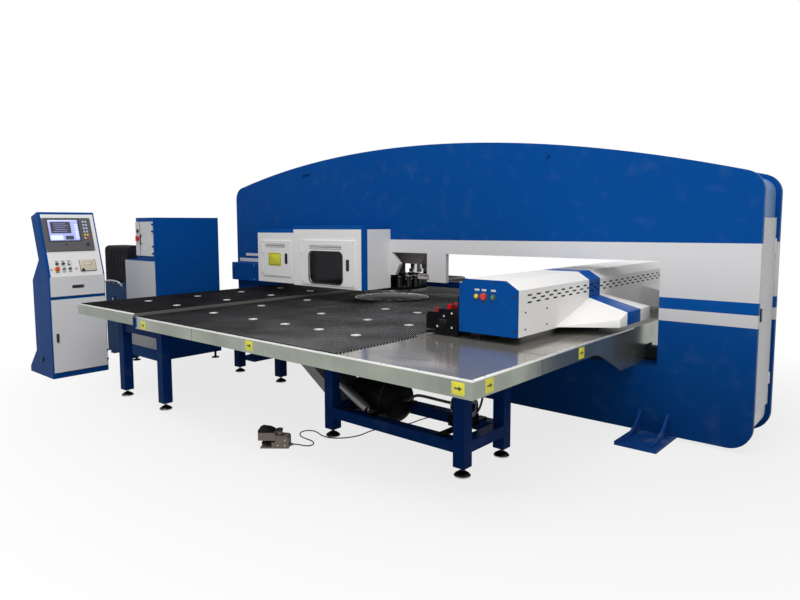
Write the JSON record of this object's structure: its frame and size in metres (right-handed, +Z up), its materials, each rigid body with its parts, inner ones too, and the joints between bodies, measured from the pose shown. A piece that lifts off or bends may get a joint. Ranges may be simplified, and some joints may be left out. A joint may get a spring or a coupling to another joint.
{
  "type": "cnc turret punch press",
  "caption": "Closed O-frame CNC turret punch press with brush tables, feed beam and sheet clamps, guarded turret, operator console, control cabinet and hydraulic unit.",
  "frame": {"origin": "on the floor, at the centre of the four anchor holes of the O-frame", "axes": "+X along the frame to the right as the operator sees it, +Y through the frame away from the operator, +Z up"},
  "size_m": [7.162, 5.255, 2.4268],
  "materials": {
    "blue_paint": "satin blue machine enamel",
    "light_blue_paint": "pale blue enamel on the edge covers",
    "white_paint": "satin white enamel",
    "grey_paint": "warm grey enamel",
    "table_steel": "bright stainless sheet",
    "dark_paint": "near-black enamel",
    "cast_saddle": "painted casting",
    "black_metal": "black semi-gloss",
    "dark_steel": "blackened machined steel",
    "tool_steel": "ground tool steel",
    "bright_steel": "bright machined steel",
    "galvanised_sheet": "zinc-coated sheet",
    "clear_pane": "smoked clear polycarbonate",
    "brush_bed": "black brush bed with short bristles",
    "panel_plastic": "light grey front panel",
    "black_plastic": "black moulded plastic",
    "red_plastic": "red moulded plastic",
    "green_plastic": "green moulded plastic",
    "yellow_plastic": "yellow moulded plastic",
    "cable_rubber": "black cable sheath"
  },
  "bodies": {
    "frame": {"o_frame": "blue_paint", "anchor_feet": "blue_paint", "frame_covers": "light_blue_paint", "turret_drive_housing": "blue_paint", "turret_carriers": "dark_steel", "punch_cylinder": "dark_steel", "punch_hood": "grey_paint", "turret_guard": "white_paint", "table_left": "table_steel", "table_main": "table_steel", "table_centre": "bright_steel", "brush_beds": "brush_bed", "table_stands": "blue_paint", "levelling_feet": "black_metal", "scrap_chute": "galvanised_sheet", "air_receiver": "dark_paint", "ground_rails": "bright_steel", "beam_drive": "dark_paint", "console_body": "blue_paint", "console_panel": "panel_plastic", "control_cabinet": "blue_paint", "hydraulic_tank": "blue_paint", "oil_cooler": "dark_paint", "pedal_base": "grey_paint", "pedal_cable": "cable_rubber", "cable_gland": "black_plastic"},
    "beam": {"beam": "dark_paint", "beam_cover": "white_paint", "beam_caps": "blue_paint", "saddle": "cast_saddle", "saddle_skirts": "white_paint"},
    "clamp carriage": {"clamp_carriage": "dark_paint", "clamp_bodies": "black_metal"},
    "clamp jaw 1": {"clamp_jaw_1": "black_metal"},
    "clamp jaw 2": {"clamp_jaw_2": "black_metal"},
    "clamp jaw 3": {"clamp_jaw_3": "black_metal"},
    "beam stop button": {"beam_stop_button": "yellow_plastic"},
    "beam emergency stop": {"beam_emergency_stop": "red_plastic"},
    "beam start button": {"beam_start_button": "green_plastic"},
    "upper turret": {"upper_turret": "dark_steel", "punch_tools": "tool_steel"},
    "lower turret": {"lower_turret": "dark_steel", "die_tools": "tool_steel"},
    "punch ram": {"punch_ram": "bright_steel"},
    "guard main door": {"guard_main_door": "white_paint", "guard_window": "clear_pane"},
    "guard main latch": {"guard_main_latch": "black_metal"},
    "guard small door": {"guard_small_door": "white_paint"},
    "guard small latch": {"guard_small_latch": "black_metal"},
    "frame end door": {"frame_end_door": "white_paint"},
    "frame end latch": {"frame_end_latch": "black_metal"},
    "console drawer": {"console_drawer": "white_paint"},
    "console door": {"console_door": "white_paint"},
    "console latch": {"console_latch": "black_metal"},
    "console emergency stop": {"console_emergency_stop": "red_plastic"},
    "console start button": {"console_start_button": "green_plastic"},
    "console selector": {"console_selector": "black_plastic"},
    "cabinet door": {"cabinet_door": "white_paint"},
    "cabinet isolator": {"cabinet_isolator": "red_plastic"},
    "pedal treadle": {"pedal_treadle": "black_metal"}
  },
  "joints": [
    {"name": "lower_turret_spin", "type": "hinge", "parent": "frame", "child": "lower turret", "pos_m": [-0.6, 0, 0.81], "axis": [0, 0, 1], "continuous": true},
    {"name": "upper_turret_spin", "type": "hinge", "parent": "frame", "child": "upper turret", "pos_m": [-0.6, 0, 0.97], "axis": [0, 0, 1], "continuous": true},
    {"name": "punch_stroke", "type": "slide", "parent": "frame", "child": "punch ram", "axis": [0, 0, 1], "range_m": [-0.037, 0]},
    {"name": "beam_travel", "type": "slide", "parent": "frame", "child": "beam", "axis": [1, 0, 0], "range_m": [-1.02, 0]},
    {"name": "carriage_travel", "type": "slide", "parent": "beam", "child": "clamp carriage", "axis": [0, 1, 0], "range_m": [0, 2.27]},
    {"name": "clamp_jaw_1_rock", "type": "hinge", "parent": "clamp carriage", "child": "clamp jaw 1", "pos_m": [1.236, -1.48, 0.93], "axis": [0, 1, 0], "range_deg": [0, 8]},
    {"name": "clamp_jaw_2_rock", "type": "hinge", "parent": "clamp carriage", "child": "clamp jaw 2", "pos_m": [1.236, -1.135, 0.93], "axis": [0, 1, 0], "range_deg": [0, 8]},
    {"name": "clamp_jaw_3_rock", "type": "hinge", "parent": "clamp carriage", "child": "clamp jaw 3", "pos_m": [1.236, -0.795, 0.93], "axis": [0, 1, 0], "range_deg": [0, 8]},
    {"name": "beam_stop_press", "type": "slide", "parent": "beam", "child": "beam stop button", "axis": [0, 1, 0], "range_m": [0, 0.004], "stiffness_N_per_m": 900, "springref_m": -0.003},
    {"name": "beam_emergency_press", "type": "slide", "parent": "beam", "child": "beam emergency stop", "axis": [0, 1, 0], "range_m": [0, 0.004]},
    {"name": "beam_start_press", "type": "slide", "parent": "beam", "child": "beam start button", "axis": [0, 1, 0], "range_m": [0, 0.004], "stiffness_N_per_m": 900, "springref_m": -0.003},
    {"name": "guard_main_door_swing", "type": "hinge", "parent": "frame", "child": "guard main door", "pos_m": [-1.241, -0.752, 1.25], "axis": [0, 0, -1], "range_deg": [0, 110]},
    {"name": "guard_main_latch_turn", "type": "hinge", "parent": "guard main door", "child": "guard main latch", "pos_m": [-0.543, -0.752, 1.237], "axis": [0, 1, 0], "range_deg": [0, 90]},
    {"name": "guard_small_door_swing", "type": "hinge", "parent": "frame", "child": "guard small door", "pos_m": [-1.974, -0.712, 1.27], "axis": [0, 0, -1], "range_deg": [0, 110]},
    {"name": "guard_small_latch_turn", "type": "hinge", "parent": "guard small door", "child": "guard small latch", "pos_m": [-1.552, -0.712, 1.272], "axis": [0, 1, 0], "range_deg": [0, 90]},
    {"name": "frame_end_door_swing", "type": "hinge", "parent": "frame", "child": "frame end door", "pos_m": [3.005, 0.25, 0.98], "axis": [0, 0, 1], "range_deg": [0, 110]},
    {"name": "frame_end_latch_turn", "type": "hinge", "parent": "frame end door", "child": "frame end latch", "pos_m": [3.005, -0.15, 0.99], "axis": [1, 0, 0], "range_deg": [0, 90]},
    {"name": "console_drawer_pull", "type": "slide", "parent": "frame", "child": "console drawer", "axis": [1, 0, 0], "range_m": [0, 0.32]},
    {"name": "console_door_swing", "type": "hinge", "parent": "frame", "child": "console door", "pos_m": [-3.123, -2.064, 0.46], "axis": [0, 0, 1], "range_deg": [0, 70]},
    {"name": "console_latch_turn", "type": "hinge", "parent": "console door", "child": "console latch", "pos_m": [-3.123, -2.596, 0.445], "axis": [1, 0, 0], "range_deg": [0, 90]},
    {"name": "console_emergency_press", "type": "slide", "parent": "frame", "child": "console emergency stop", "axis": [-0.9517, 0, -0.3071], "range_m": [0, 0.005]},
    {"name": "console_start_press", "type": "slide", "parent": "frame", "child": "console start button", "axis": [-0.9517, 0, -0.3071], "range_m": [0, 0.004], "stiffness_N_per_m": 900, "springref_m": -0.003},
    {"name": "console_selector_turn", "type": "hinge", "parent": "frame", "child": "console selector", "pos_m": [-3.15689, -2.28, 1.16334], "axis": [0.9517, 0, 0.3071], "range_deg": [-45, 45]},
    {"name": "cabinet_door_swing", "type": "hinge", "parent": "frame", "child": "cabinet door", "pos_m": [-2.768, -1.658, 1.5], "axis": [0, 0, 1], "range_deg": [0, 110]},
    {"name": "isolator_turn", "type": "hinge", "parent": "cabinet door", "child": "cabinet isolator", "pos_m": [-3.085, -1.658, 1.5], "axis": [0, 1, 0], "range_deg": [0, 90]},
    {"name": "treadle_press", "type": "hinge", "parent": "frame", "child": "pedal treadle", "pos_m": [0.3046, -2.39489, 0.032], "axis": [0.6494, -0.7604, 0], "range_deg": [0, 9], "stiffness_Nm_per_rad": 12, "springref_deg": -17.19}
  ],
  "couplings": [
    {"joint": "upper_turret_spin", "follows": "lower_turret_spin", "ratio": 1}
  ]
}
